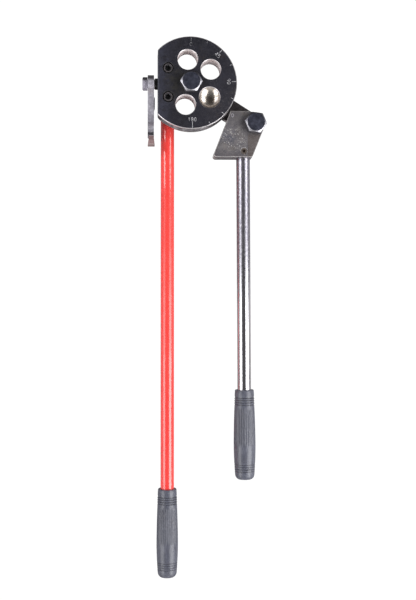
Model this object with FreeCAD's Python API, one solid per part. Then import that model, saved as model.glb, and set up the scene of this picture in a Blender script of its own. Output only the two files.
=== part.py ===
import FreeCAD, Part
import math
import os

# Lever tube bender for 5/8 in (15.88 mm) tube, bend radius 57.15 mm (2 1/4 in).
# Millimetres. The tool lies on its back: +Z is the normal of the die's engraved
# face, the handles run towards -Y. The origin is the bend centre, on the axis of
# the centre pivot and in the middle plane of the tube groove.

V = FreeCAD.Vector

# ---------------------------------------------------------------- dimensions
TUBE_R = 8.0            # groove radius for the 15.88 mm tube
BEND_R = 57.15          # radius of the bend, measured to the tube's centre line
DIE_R = 57.5            # rim of the forming die
DIE_HALF = 12.0         # half thickness of the die and of the shoe
DIE_FLAT_X = -41.3      # flat side that carries the latch
DIE_CORNER_R = 4.2      # rounding where the flat meets the rim
HOLE_R = 12.5           # lightening holes
HOLE_CHAMFER = 0.5
HOLES = [(-4.1, 28.5), (24.6, 16.7), (-6.7, -27.6)]
DISH = (23.2, -18.1)    # blind pocket with a ball-shaped floor
DISH_R = 12.9
DISH_SPHERE_R = 17.5    # the pocket's floor is part of a larger ball
DISH_WALL_Z = 8.2       # where the floor meets the wall
ENGRAVE = 0.35          # depth of the scale marks
DIGIT_H = 4.7
STROKE = 0.7            # width of the scale lines
DIGIT_STROKE = 0.58
# the marks lead the bend angle a little, which allows for springback
TICKS = {0.2: (51.6, 56.0), 21.9: (53.2, 56.0), 43.2: (51.6, 56.2), 65.5: (53.2, 56.2), 87.8: (51.0, 56.2),
         110.3: (53.4, 55.8), 133.2: (53.2, 55.8), 155.1: (53.4, 55.8), 178.1: (49.4, 56.4)}

BOLT_R = 8.0            # shoulder of the two pivot bolts
BOLT_AF = 24.0
BOLT_HEAD_H = 10.0
THREAD_R = 6.0          # M12 end behind the shoulder
NUT_AF = 18.0
NUT_H = 12.0
BUSH_R = 10.0           # outside of the bronze bushes
RUN = 0.08              # radial running clearance
GAP = 0.3               # axial running clearance

LINK_T = 8.0
THRUST_T = 1.0
WASHER_T = 2.5
LINK_LEN = 94.47        # centre pivot to shoe pivot
LINK_ANGLE = -31.81     # direction of the link in the stored pose, degrees
LINK_UP = 16.1          # link's edge from the line between its pivots, away from the handles
LINK_LOW = 12.0         # and towards them
SX = LINK_LEN * math.cos(math.radians(LINK_ANGLE))
SY = LINK_LEN * math.sin(math.radians(LINK_ANGLE))

HANDLE_OD = 17.2        # 3/8 in pipe
HANDLE_ID = 12.6
DH_X = -28.4            # axis of the die handle
DH_Z = -25.0
DH_TOP = 27.0
GRIP_L = 113.0
DH_GRIP_Y = -512.1      # top of the die handle's grip
SCREW_Y = (17.9, -17.8) # the two cap screws
CAP_HEAD_R = 6.2
CAP_BORE_R = 6.8

SH_X0, SH_Y0 = 66.05, -62.0   # inner end of the shoe handle's axis
SH_TILT = 0.006               # drift of that axis in X per mm towards -Y
SH_GRIP_T = 321.3             # distance from the inner end to the grip

LATCH_X0, LATCH_X1 = -53.7, -45.9
LATCH_BOLT_R = 5.0

Z_THRUST = -DIE_HALF - THRUST_T
Z_LINK0 = Z_THRUST - GAP
Z_LINK1 = Z_LINK0 - LINK_T

os.makedirs("parts", exist_ok=True)


# ---------------------------------------------------------------- helpers
def cyl(r, z0, z1, x=0.0, y=0.0):
    return Part.makeCylinder(r, z1 - z0, V(x, y, z0))


def cylx(r, x0, x1, y=0.0, z=0.0):
    return Part.makeCylinder(r, x1 - x0, V(x0, y, z), V(1, 0, 0))


def prism(points, z0, z1):
    pts = [V(x, y, z0) for x, y in points]
    pts.append(pts[0])
    return Part.Face(Part.makePolygon(pts)).extrude(V(0, 0, z1 - z0))


def hexagon(af, rot=0.0):
    r = af / 2 / math.cos(math.pi / 6)
    return [(r * math.cos(math.radians(rot + 60 * k)), r * math.sin(math.radians(rot + 60 * k))) for k in range(6)]


def revolve(points, axis=V(0, 0, 1)):
    """Closed outline of (radius, z) turned about Z."""
    pts = [V(r, 0, z) for r, z in points]
    pts.append(pts[0])
    return Part.Face(Part.makePolygon(pts)).revolve(V(0, 0, 0), axis, 360)


def hex_block(af, h, rot=0.0, chamfer_r=None, both=False):
    """Hexagon from z 0 to h with its corners turned off at the top, or at both ends."""
    body = prism(hexagon(af, rot), 0, h)
    rc = af / 2 / math.cos(math.pi / 6)
    top = chamfer_r or af / 2 * 0.93
    drop = (rc + 0.4 - top) * math.tan(math.radians(30))
    if both:
        outline = [(0, 0), (top, 0), (rc + 0.4, drop), (rc + 0.4, h - drop), (top, h), (0, h)]
    else:
        outline = [(0, 0), (rc + 0.4, 0), (rc + 0.4, h - drop), (top, h), (0, h)]
    return body.common(revolve(outline))


def move(shape, x=0.0, y=0.0, z=0.0):
    s = shape.copy()
    s.translate(V(x, y, z))
    return s


def save(name, shapes):
    if not isinstance(shapes, list):
        shapes = [shapes]
    solids = []
    for s in shapes:
        got = s.Solids
        if not got:
            raise RuntimeError(name + " has no solid")
        solids += got
    for s in solids:
        if not s.isValid():
            s.fix(1e-4, 1e-4, 1e-4)
        if not s.isValid() or not s.isClosed():
            raise RuntimeError(name + " is not a valid closed solid")
    out = solids[0] if len(solids) == 1 else Part.makeCompound(solids)
    out.exportStep("parts/" + name + ".step")
    b = out.BoundBox
    print("%-26s solids %d  volume %10.1f  x %.1f..%.1f y %.1f..%.1f z %.1f..%.1f" % (
        name, len(solids), sum(s.Volume for s in solids), b.XMin, b.XMax, b.YMin, b.YMax, b.ZMin, b.ZMax))
    return out


# ---------------------------------------------------------------- forming die
def die_outline():
    """Round plate with one flat side and small rounded corners, as a face at the back."""
    R, X, c = DIE_R, DIE_FLAT_X, DIE_CORNER_R
    # the corner arc touches the rim from inside and the flat
    cx = X + c
    cy = math.sqrt((R - c) ** 2 - cx ** 2)
    k = R / (R - c)
    rim = (cx * k, cy * k)
    z = -DIE_HALF
    a = math.radians(45) + math.atan2(cy, cx) / 2 + math.radians(45)
    mid = (cx + c * math.cos(a), cy + c * math.sin(a))
    edges = [
        Part.Arc(V(rim[0], -rim[1], z), V(R, 0, z), V(rim[0], rim[1], z)).toShape(),
        Part.Arc(V(rim[0], rim[1], z), V(mid[0], mid[1], z), V(X, cy, z)).toShape(),
        Part.LineSegment(V(X, cy, z), V(X, -cy, z)).toShape(),
        Part.Arc(V(X, -cy, z), V(mid[0], -mid[1], z), V(rim[0], -rim[1], z)).toShape(),
    ]
    return Part.Face(Part.Wire(edges))


def strokes_of(ch):
    """Strokes of one numeral in a box 0.6 wide and 1 high."""
    def loop(cx, cy, rx, ry, n=14):
        return [(cx + rx * math.sin(2 * math.pi * i / n), cy + ry * math.cos(2 * math.pi * i / n)) for i in range(n + 1)]
    if ch == "0":
        return [loop(0.3, 0.5, 0.27, 0.46)]
    if ch == "1":
        return [[(0.12, 0.78), (0.32, 0.98), (0.32, 0.0)]]
    if ch == "4":
        return [[(0.44, 0.0), (0.44, 0.98), (0.02, 0.3), (0.6, 0.3)]]
    if ch == "5":
        return [[(0.54, 0.97), (0.12, 0.97), (0.08, 0.55), (0.3, 0.62), (0.5, 0.52), (0.57, 0.32), (0.49, 0.1), (0.28, 0.02), (0.05, 0.1)]]
    if ch == "8":
        return [loop(0.3, 0.74, 0.21, 0.22, 12), loop(0.3, 0.27, 0.27, 0.25, 12)]
    if ch == "9":
        return [loop(0.3, 0.7, 0.25, 0.27, 12), [(0.55, 0.7), (0.53, 0.35), (0.36, 0.02)]]
    return []


def stroke_prisms(path, z_top, width=STROKE):
    out = []
    for (x0, y0), (x1, y1) in zip(path[:-1], path[1:]):
        l = math.hypot(x1 - x0, y1 - y0)
        ux, uy = (x1 - x0) / l, (y1 - y0) / l
        w = width / 2
        e = w * 0.45
        pts = [(x0 - ux * e - uy * w, y0 - uy * e + ux * w), (x0 - ux * e + uy * w, y0 - uy * e - ux * w),
               (x1 + ux * e + uy * w, y1 + uy * e - ux * w), (x1 + ux * e - uy * w, y1 + uy * e + ux * w)]
        out.append(prism(pts, z_top - ENGRAVE, z_top + 1.0))
    return out


def numeral_cuts(text, cx, cy, turn, z_top, h=DIGIT_H):
    """Numerals centred at (cx, cy), turned by turn degrees."""
    adv = 0.8 * h
    total = adv * (len(text) - 1) + 0.6 * h
    c, s = math.cos(math.radians(turn)), math.sin(math.radians(turn))
    out = []
    for i, ch in enumerate(text):
        for path in strokes_of(ch):
            pts = []
            for px, py in path:
                lx = px * h + i * adv - total / 2
                ly = py * h - h / 2
                pts.append((cx + lx * c - ly * s, cy + lx * s + ly * c))
            out += stroke_prisms(pts, z_top, DIGIT_STROKE)
    return out


def joined(shapes):
    f = shapes[0].multiFuse(shapes[1:]) if len(shapes) > 1 else shapes[0]
    return f.removeSplitter()


def scale_cuts():
    cuts = []
    for bend, (r0, r1) in TICKS.items():
        a = math.radians(90 - bend)
        cuts += stroke_prisms([(r0 * math.cos(a), r0 * math.sin(a)), (r1 * math.cos(a), r1 * math.sin(a))], DIE_HALF)
    groups = [joined(numeral_cuts("0", -0.1, 47.8, 0, DIE_HALF)),
              joined(numeral_cuts("45", 33.2, 34.8, -42, DIE_HALF)),
              joined(numeral_cuts("90", 47.2, 2.1, -90, DIE_HALF)),
              joined(numeral_cuts("180", 1.5, -45.7, 0, DIE_HALF))]
    return cuts + groups


def forming_die():
    body = die_outline().extrude(V(0, 0, 2 * DIE_HALF))
    # break the sharp rims of both faces
    edges = [e for e in body.Edges if abs(abs(e.BoundBox.ZMin) - DIE_HALF) < 1e-6 and abs(e.BoundBox.ZMax - e.BoundBox.ZMin) < 1e-6]
    body = body.makeChamfer(0.8, edges)
    body = body.cut(Part.makeTorus(BEND_R, TUBE_R, V(0, 0, 0), V(0, 0, 1)))
    tools = [cyl(BOLT_R, -20, 20)]
    for x, y in HOLES:
        c = HOLE_CHAMFER
        tools.append(revolve([(0, -14), (HOLE_R + c + 2, -14), (HOLE_R, -DIE_HALF + c), (HOLE_R, DIE_HALF - c), (HOLE_R + c + 2, 14), (0, 14)]))
        tools[-1].translate(V(x, y, 0))
    # blind pocket left by a ball-nosed cutter
    zc = DISH_WALL_Z + math.sqrt(DISH_SPHERE_R ** 2 - DISH_R ** 2)
    zb = zc - DISH_SPHERE_R
    mid = DISH_R / 2
    zm = zc - math.sqrt(DISH_SPHERE_R ** 2 - mid ** 2)
    bowl = Part.Wire([Part.Arc(V(0, 0, zb), V(mid, 0, zm), V(DISH_R, 0, DISH_WALL_Z)).toShape(),
                      Part.LineSegment(V(DISH_R, 0, DISH_WALL_Z), V(DISH_R, 0, 20)).toShape(),
                      Part.LineSegment(V(DISH_R, 0, 20), V(0, 0, 20)).toShape(),
                      Part.LineSegment(V(0, 0, 20), V(0, 0, zb)).toShape()])
    pocket = move(Part.Face(bowl).revolve(V(0, 0, 0), V(0, 0, 1), 360), DISH[0], DISH[1], 0)
    mouth = Part.makeCone(DISH_R, DISH_R + 2.5, 2.5, V(DISH[0], DISH[1], DIE_HALF - 0.5))
    tools.append(pocket.fuse(mouth).removeSplitter())
    # counterbored holes of the two cap screws
    for y in SCREW_Y:
        tools.append(cyl(4.0, -20, 20, DH_X, y))
        tools.append(cyl(CAP_BORE_R, DIE_HALF - 8.8, 20, DH_X, y))
        tools.append(Part.makeCone(CAP_BORE_R, CAP_BORE_R + 1.5, 1.5, V(DH_X, y, DIE_HALF - 0.4)))
    # tapped hole of the latch bolt in the flat
    tools.append(cylx(LATCH_BOLT_R, DIE_FLAT_X - 5, -23.0))
    for t in tools:
        body = body.cut(t)
    for t in scale_cuts():
        body = body.cut(t)
    return body.removeSplitter()


save("forming_die", forming_die())


# ---------------------------------------------------------------- die handle
def die_handle_socket():
    w, y0, y1, z1 = 20.0, -24.0, DH_TOP, -36.6
    body = Part.makeBox(w, y1 - y0, -DIE_HALF - z1, V(DH_X - w / 2, y0, z1))
    edges = [e for e in body.Edges if abs(e.BoundBox.ZMin - z1) < 1e-6 and abs(e.BoundBox.ZMax - z1) < 1e-6]
    edges += [e for e in body.Edges if e.BoundBox.ZMax - e.BoundBox.ZMin > 5]
    body = body.makeFillet(2.5, edges)
    body = body.cut(Part.makeCylinder(HANDLE_OD / 2, 200, V(DH_X, -100, DH_Z), V(0, 1, 0)))
    for y in SCREW_Y:
        body = body.cut(cyl(4.0, -60, 0, DH_X, y))
    return body


def die_cap_screws():
    out = []
    for y in SCREW_Y:
        head = revolve([(0, DIE_HALF - 8.8), (CAP_HEAD_R, DIE_HALF - 8.8), (CAP_HEAD_R, DIE_HALF - 1.6), (CAP_HEAD_R - 0.9, DIE_HALF - 0.7), (0, DIE_HALF - 0.7)])
        head = head.cut(move(prism(hexagon(6.0, 15), 0, 10), 0, 0, DIE_HALF - 5.2))
        head = head.cut(Part.makeCone(2.6, 4.2, 1.6, V(0, 0, DIE_HALF - 1.8)))
        shank = revolve([(0, DIE_HALF - 8.8), (4.0, DIE_HALF - 8.8), (4.0, -34.8), (3.0, -35.8), (0, -35.8)])
        s = head.fuse(shank).removeSplitter()
        s.translate(V(DH_X, y, 0))
        out.append(s)
    return out


def tube(p0, p1, r_out, r_in):
    d = p1 - p0
    t = Part.makeCylinder(r_out, d.Length, p0, d)
    return t.cut(Part.makeCylinder(r_in, d.Length + 2, p0 - d / d.Length, d))


def die_handle_tube():
    t = tube(V(DH_X, DH_TOP - 0.5, DH_Z), V(DH_X, DH_GRIP_Y - GRIP_L + 7.0, DH_Z), HANDLE_OD / 2, HANDLE_ID / 2)
    for y in SCREW_Y:
        t = t.cut(cyl(4.0, -60, 0, DH_X, y))
    return t


GRIP_PROFILE = [(0.0, 11.9), (6.0, 12.2), (17.0, 12.45), (32.0, 13.05), (47.0, 13.45), (66.0, 13.78), (77.0, 13.72),
                (85.0, 13.48), (92.5, 13.15), (100.0, 12.8), (106.0, 12.35)]


def grip(p0, direction):
    """Moulded grip, closed at its far end, from p0 along direction."""
    pts = [V(r, 0, t) for t, r in GRIP_PROFILE]
    side = Part.BSplineCurve()
    side.interpolate(pts)
    end = Part.Arc(pts[-1], V(10.9, 0, 110.9), V(7.6, 0, GRIP_L))
    # a straight line closes the end and the bore
    bore_r, bore_l = HANDLE_OD / 2, GRIP_L - 7.0
    w = Part.Wire([side.toShape(), end.toShape(),
                   Part.LineSegment(V(7.6, 0, GRIP_L), V(0, 0, GRIP_L)).toShape(),
                   Part.LineSegment(V(0, 0, GRIP_L), V(0, 0, bore_l)).toShape(),
                   Part.LineSegment(V(0, 0, bore_l), V(bore_r, 0, bore_l)).toShape(),
                   Part.LineSegment(V(bore_r, 0, bore_l), V(bore_r, 0, 0)).toShape(),
                   Part.LineSegment(V(bore_r, 0, 0), pts[0]).toShape()])
    g = Part.Face(w).revolve(V(0, 0, 0), V(0, 0, 1), 360)
    if g.Volume < 0:
        g.reverse()
    g.Placement = FreeCAD.Placement(p0, FreeCAD.Rotation(V(0, 0, 1), direction))
    return g


save("die_handle_socket", die_handle_socket())
save("die_cap_screws", die_cap_screws())
save("die_handle_tube", die_handle_tube())
save("die_handle_grip", grip(V(DH_X, DH_GRIP_Y, DH_Z), V(0, -1, 0)))


# ---------------------------------------------------------------- pivots
def hex_bolt(z_under, z_shoulder, z_end, rot):
    head = move(hex_block(BOLT_AF, BOLT_HEAD_H, rot, 10.9), 0, 0, z_under)
    shank = revolve([(0, z_under), (BOLT_R, z_under), (BOLT_R, z_shoulder), (THREAD_R, z_shoulder),
                     (THREAD_R, z_end + 1.2), (THREAD_R - 1.2, z_end), (0, z_end)])
    return head.fuse(shank).removeSplitter()


def lock_nut(z_top, rot):
    """Nut with a rolled collar that holds a nylon ring; z_top is its seat."""
    h_hex = 9.4
    n = hex_block(NUT_AF, h_hex, rot, 8.5, both=True)
    collar = cyl(8.3, h_hex - 1.0, NUT_H)
    top = [e for e in collar.Edges if abs(e.BoundBox.ZMin - NUT_H) < 1e-6]
    collar = collar.makeFillet(0.9, top)
    n = n.fuse(collar).removeSplitter()
    n = n.cut(cyl(THREAD_R, -1, NUT_H + 1)).cut(cyl(7.3, NUT_H - 2.6, NUT_H + 1))
    n.rotate(V(0, 0, 0), V(1, 0, 0), 180)
    return move(n, 0, 0, z_top)


def nylon_ring(z_top):
    r = cyl(7.3, z_top - NUT_H + 0.4, z_top - NUT_H + 2.6).cut(cyl(THREAD_R, z_top - NUT_H, z_top))
    return r


def washer(z_low, t, r_out, r_in):
    return revolve([(r_in, z_low), (r_out - 0.3, z_low), (r_out, z_low + 0.3), (r_out, z_low + t - 0.3),
                    (r_out - 0.3, z_low + t), (r_in, z_low + t)])


zc = Z_LINK1 - GAP                      # front of the centre washer
save("centre_pivot_bolt", hex_bolt(DIE_HALF, zc, zc - WASHER_T - NUT_H - 1.0, 0))
save("centre_thrust_washer", washer(Z_THRUST, THRUST_T, 12.5, BOLT_R))
save("centre_pivot_washer", washer(zc - WASHER_T, WASHER_T, 11.5, THREAD_R))
save("centre_pivot_nut", lock_nut(zc - WASHER_T, 15))
save("centre_nut_insert", nylon_ring(zc - WASHER_T))


# ---------------------------------------------------------------- link
def pivot_link():
    """Flat bar with round ends; more of its width lies on the side away from the handles."""
    z0, z1, n = Z_LINK1, Z_LINK0, LINK_LEN
    # tangent points of the sides on the centre boss (radius 13) and on the shoe's boss (radius 13.5)
    a = math.atan2(LINK_UP - 13.0, 34.0)
    up0 = (-13.0 * math.sin(a) + 0.4, 13.0 * math.cos(a))
    b0 = math.radians(52)
    up1 = (n + 13.5 * math.cos(b0), 13.5 * math.sin(b0))
    low0 = (-1.5, -LINK_LOW)
    low1 = (n + 1.5, -LINK_LOW)
    b = prism([up0, (34.0, LINK_UP), (n - 6.0, LINK_UP), (n + 2.5, LINK_UP - 1.6), up1, low1, low0], z0, z1)
    b = b.fuse(cyl(13.0, z0, z1)).fuse(cyl(13.5, z0, z1, n, 0)).removeSplitter()
    rim = [e for e in b.Edges if abs(e.BoundBox.ZMax - e.BoundBox.ZMin) < 1e-6]
    b = b.makeChamfer(0.6, rim)
    b = b.cut(cyl(BUSH_R, -60, 0)).cut(cyl(BOLT_R, -60, 0, LINK_LEN, 0))
    b.rotate(V(0, 0, 0), V(0, 0, 1), LINK_ANGLE)
    return b


save("pivot_link", pivot_link())
save("link_bush", cyl(BUSH_R, Z_LINK1, Z_LINK0).cut(cyl(BOLT_R + RUN, -60, 0)))
zs = Z_LINK1                            # the shoe bolt clamps the link itself
save("shoe_pivot_bolt", move(hex_bolt(DIE_HALF + GAP, zs, zs - WASHER_T - NUT_H - 1.0, -7), SX, SY))
save("shoe_thrust_washer", move(washer(Z_LINK0, THRUST_T, 12.5, BOLT_R), SX, SY))
save("shoe_pivot_washer", move(washer(zs - WASHER_T, WASHER_T, 12.0, THREAD_R), SX, SY))
save("shoe_pivot_nut", move(lock_nut(zs - WASHER_T, 23), SX, SY))
save("shoe_nut_insert", move(nylon_ring(zs - WASHER_T), SX, SY))


# ---------------------------------------------------------------- bending shoe
SHOE_TL = (49.7, -34.4)                 # nose of the shoe
SHOE_BL = (27.1, -92.1)
SHOE_BR = (76.9, -91.7)
SHOE_TOP_X = 73.0                       # where the top edge turns down to the eye
SHOE_EYE_R = 12.4
FACE = (SHOE_BL[0] - SHOE_TL[0], SHOE_BL[1] - SHOE_TL[1])
FACE_L = math.hypot(*FACE)
FDX, FDY = FACE[0] / FACE_L, FACE[1] / FACE_L      # along the tube face
FNX, FNY = FDY, -FDX                               # out of the face, towards the die
# at work the face stands square to the link, so the groove's axis is this far in front of it
FACE_D = (SHOE_TL[0] - SX) * FNX + (SHOE_TL[1] - SY) * FNY
GROOVE_OUT = LINK_LEN - BEND_R - FACE_D


def corner(prev, at, nxt, r, z):
    """Tangent points and middle of a rounding at a corner."""
    ax, ay = prev[0] - at[0], prev[1] - at[1]
    bx, by = nxt[0] - at[0], nxt[1] - at[1]
    la, lb = math.hypot(ax, ay), math.hypot(bx, by)
    ax, ay, bx, by = ax / la, ay / la, bx / lb, by / lb
    half = math.acos(ax * bx + ay * by) / 2
    t = r / math.tan(half)
    mx, my = ax + bx, ay + by
    lm = math.hypot(mx, my)
    c = (at[0] + mx / lm * r / math.sin(half), at[1] + my / lm * r / math.sin(half))
    m = (c[0] - mx / lm * r, c[1] - my / lm * r)
    return V(at[0] + ax * t, at[1] + ay * t, z), V(m[0], m[1], z), V(at[0] + bx * t, at[1] + by * t, z)


def touch(at, r, sign):
    """Angle at the eye where a line from a point outside touches it."""
    dx, dy = SX - at[0], SY - at[1]
    return math.atan2(-dy, -dx) + sign * math.acos(r / math.hypot(dx, dy))


def shoe_outline(z):
    r = SHOE_EYE_R
    top = (SHOE_TOP_X, SHOE_TL[1])

    def on_eye(t):
        return V(SX + r * math.cos(t), SY + r * math.sin(t), z)

    a0, a1 = touch(top, r, -1), touch(SHOE_BR, r, 1)
    while a1 > a0:
        a1 -= 2 * math.pi
    while a0 - a1 > 2 * math.pi:
        a1 += 2 * math.pi
    e0, em, e1 = on_eye(a0), on_eye((a0 + a1) / 2), on_eye(a1)
    tp0, tpm, tp1 = corner((e0.x, e0.y), top, SHOE_TL, 6.0, z)
    tl0, tlm, tl1 = corner(top, SHOE_TL, SHOE_BL, 1.2, z)
    bl0, blm, bl1 = corner(SHOE_TL, SHOE_BL, SHOE_BR, 3.2, z)
    br0, brm, br1 = corner(SHOE_BL, SHOE_BR, (e1.x, e1.y), 2.0, z)
    edges = [Part.LineSegment(e0, tp0).toShape(), Part.Arc(tp0, tpm, tp1).toShape(),
             Part.LineSegment(tp1, tl0).toShape(), Part.Arc(tl0, tlm, tl1).toShape(),
             Part.LineSegment(tl1, bl0).toShape(), Part.Arc(bl0, blm, bl1).toShape(),
             Part.LineSegment(bl1, br0).toShape(), Part.Arc(br0, brm, br1).toShape(),
             Part.LineSegment(br1, e1).toShape(), Part.Arc(e1, em, e0).toShape()]
    return Part.Face(Part.Wire(edges))


SH_DIR = V(SH_TILT, -1, 0)
SH_DIR.normalize()
SH_P0 = V(SH_X0, SH_Y0, 0)
SCREW = (66.2, -84.3)


def bending_shoe():
    b = shoe_outline(-DIE_HALF).extrude(V(0, 0, 2 * DIE_HALF))
    rim = [e for e in b.Edges if abs(e.BoundBox.ZMax - e.BoundBox.ZMin) < 1e-6]
    b = b.makeChamfer(0.7, rim)
    # half-round groove for the tube, along the whole face
    gx = SHOE_TL[0] + FNX * GROOVE_OUT - FDX * 40
    gy = SHOE_TL[1] + FNY * GROOVE_OUT - FDY * 40
    b = b.cut(Part.makeCylinder(TUBE_R, 200, V(gx, gy, 0), V(FDX, FDY, 0)))
    b = b.cut(cyl(BUSH_R, -20, 20, SX, SY))
    b = b.cut(Part.makeCylinder(HANDLE_OD / 2, 80, SH_P0, SH_DIR))
    b = b.cut(cyl(4.0, 0, 20, *SCREW))
    b = b.cut(Part.makeCone(4.0, 5.5, 1.5, V(SCREW[0], SCREW[1], DIE_HALF - 0.4)))
    # reference mark by the nose, where the bend angle is read
    n = 14
    ring = [(51.8 + 1.45 * math.sin(2 * math.pi * i / n), -40.0 + 2.0 * math.cos(2 * math.pi * i / n)) for i in range(n + 1)]
    b = b.cut(joined(stroke_prisms(ring, DIE_HALF)))
    return b.removeSplitter()


def shoe_handle_tube():
    t = tube(SH_P0, SH_P0 + SH_DIR * (SH_GRIP_T + GRIP_L - 7.0), HANDLE_OD / 2, HANDLE_ID / 2)
    return t.cut(cyl(4.0, 0, 20, *SCREW))


def set_screw():
    s = revolve([(0, 3.4), (3.0, 3.4), (4.0, 4.4), (4.0, 10.8), (3.6, 11.2), (0, 11.2)])
    s = s.cut(move(prism(hexagon(4.0, 10), 0, 10), 0, 0, 7.6))
    return move(s, SCREW[0], SCREW[1], 0)


save("bending_shoe", bending_shoe())
save("shoe_bush", cyl(BUSH_R, -DIE_HALF, DIE_HALF, SX, SY).cut(cyl(BOLT_R + RUN, -20, 20, SX, SY)))
save("shoe_handle_tube", shoe_handle_tube())
save("shoe_handle_set_screw", set_screw())
save("shoe_handle_grip", grip(SH_P0 + SH_DIR * SH_GRIP_T, SH_DIR))


# ---------------------------------------------------------------- latch
def yz_plate(points, x0, x1):
    pts = [V(x0, y, z) for y, z in points]
    pts.append(pts[0])
    return Part.Face(Part.makePolygon(pts)).extrude(V(x1 - x0, 0, 0))


def tube_latch():
    x0, x1 = LATCH_X0, LATCH_X1
    eye = cylx(10.8, x0, x1)
    arm = yz_plate([(0, 8.4), (-71.0, 8.4), (-76.6, 4.5), (-76.6, -10.0), (-70.5, -15.6), (-52.0, -15.6), (-34.0, -9.0), (0, -9.0)], x0, x1)
    b = eye.fuse(arm).removeSplitter()
    long_edges = [e for e in b.Edges if e.BoundBox.XMax - e.BoundBox.XMin > 5]
    b = b.makeFillet(2.2, [e for e in long_edges if e.BoundBox.YMax < -30])
    # half-round seat for the tube, open to the front when the latch is folded down
    b = b.cut(cylx(TUBE_R + 0.1, x0 - 2, x1 + 2, -BEND_R, 0))
    b = b.cut(Part.makeBox(x1 - x0 + 4, 2 * TUBE_R + 0.2, 30, V(x0 - 2, -BEND_R - TUBE_R - 0.1, 0)))
    # the lip beyond the seat is drawn in at its root and flares out to its tip
    b = b.cut(Part.makeBox(x1 - x0 + 4, 20, 60, V(x0 - 2, -65.4 - 20, -30)))
    lip = yz_plate([(-65.4, 8.4), (-71.0, 8.4), (-76.6, 4.5), (-76.6, -10.0), (-70.5, -15.6), (-65.4, -15.6)], x0 - 2, x1 + 2)
    trap = [V(-52.4, -65.3, -40), V(-52.2, -67.4, -40), V(-53.7, -76.7, -40), V(-45.0, -76.7, -40), V(-46.3, -67.4, -40), V(-46.2, -65.3, -40)]
    trap.append(trap[0])
    b = b.fuse(lip.common(Part.Face(Part.makePolygon(trap)).extrude(V(0, 0, 80)))).removeSplitter()
    # low pad on the die side
    pad = [V(x1 - 0.5, -16.9, -6.5), V(x1 + 0.1, -17.4, -6.5), V(x1 + 1.1, -19.2, -6.5), V(x1 + 1.1, -29.6, -6.5), V(x1 + 0.1, -33.6, -6.5), V(x1 - 0.5, -34.6, -6.5)]
    pad.append(pad[0])
    b = b.fuse(Part.Face(Part.makePolygon(pad)).extrude(V(0, 0, 13.0))).removeSplitter()
    b = b.cut(cylx(LATCH_BOLT_R + RUN, x0 - 2, x1 + 2))
    return b


def latch_bolt():
    h = 6.4
    head = hex_block(14.5, h, 8, 6.7)
    shank = cyl(LATCH_BOLT_R, -30.0, 0)
    s = head.fuse(shank).removeSplitter()
    # head towards -X
    s.rotate(V(0, 0, 0), V(0, 1, 0), -90)
    return move(s, LATCH_X0 - GAP, 0, 0)


def ringx(x0, x1, r_out, r_in):
    return cylx(r_out, x0, x1).cut(cylx(r_in, x0 - 1, x1 + 1))


save("tube_latch", tube_latch())
save("latch_pivot_bolt", latch_bolt())
save("latch_spacer", ringx(LATCH_X1 + GAP + 0.9, DIE_FLAT_X, 7.0, LATCH_BOLT_R))
save("latch_friction_washer", ringx(LATCH_X1 + GAP, LATCH_X1 + GAP + 0.9, 6.2, LATCH_BOLT_R))
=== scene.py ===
import math

import bmesh
import bpy
from mathutils import Matrix, Vector


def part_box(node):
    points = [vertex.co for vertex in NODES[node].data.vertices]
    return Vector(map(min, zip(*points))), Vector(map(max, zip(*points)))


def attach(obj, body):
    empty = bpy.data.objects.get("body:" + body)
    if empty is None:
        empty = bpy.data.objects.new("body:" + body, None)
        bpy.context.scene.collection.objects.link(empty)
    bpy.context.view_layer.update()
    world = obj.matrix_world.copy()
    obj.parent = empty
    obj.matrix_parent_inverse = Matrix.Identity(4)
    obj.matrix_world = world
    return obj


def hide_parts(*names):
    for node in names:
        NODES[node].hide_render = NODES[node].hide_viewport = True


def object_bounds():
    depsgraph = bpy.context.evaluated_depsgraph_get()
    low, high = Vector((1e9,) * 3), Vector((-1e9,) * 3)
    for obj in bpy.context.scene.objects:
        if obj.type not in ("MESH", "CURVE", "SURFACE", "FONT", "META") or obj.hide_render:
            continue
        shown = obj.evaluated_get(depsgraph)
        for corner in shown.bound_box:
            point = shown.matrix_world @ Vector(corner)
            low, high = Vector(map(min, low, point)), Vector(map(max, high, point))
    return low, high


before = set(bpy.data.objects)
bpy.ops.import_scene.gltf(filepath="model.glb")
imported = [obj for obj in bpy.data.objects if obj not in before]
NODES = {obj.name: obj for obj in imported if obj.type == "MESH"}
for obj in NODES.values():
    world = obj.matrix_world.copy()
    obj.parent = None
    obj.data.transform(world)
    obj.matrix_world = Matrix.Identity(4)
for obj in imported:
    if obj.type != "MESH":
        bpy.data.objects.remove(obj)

CAD_BOX = [list(v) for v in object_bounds()]


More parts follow.
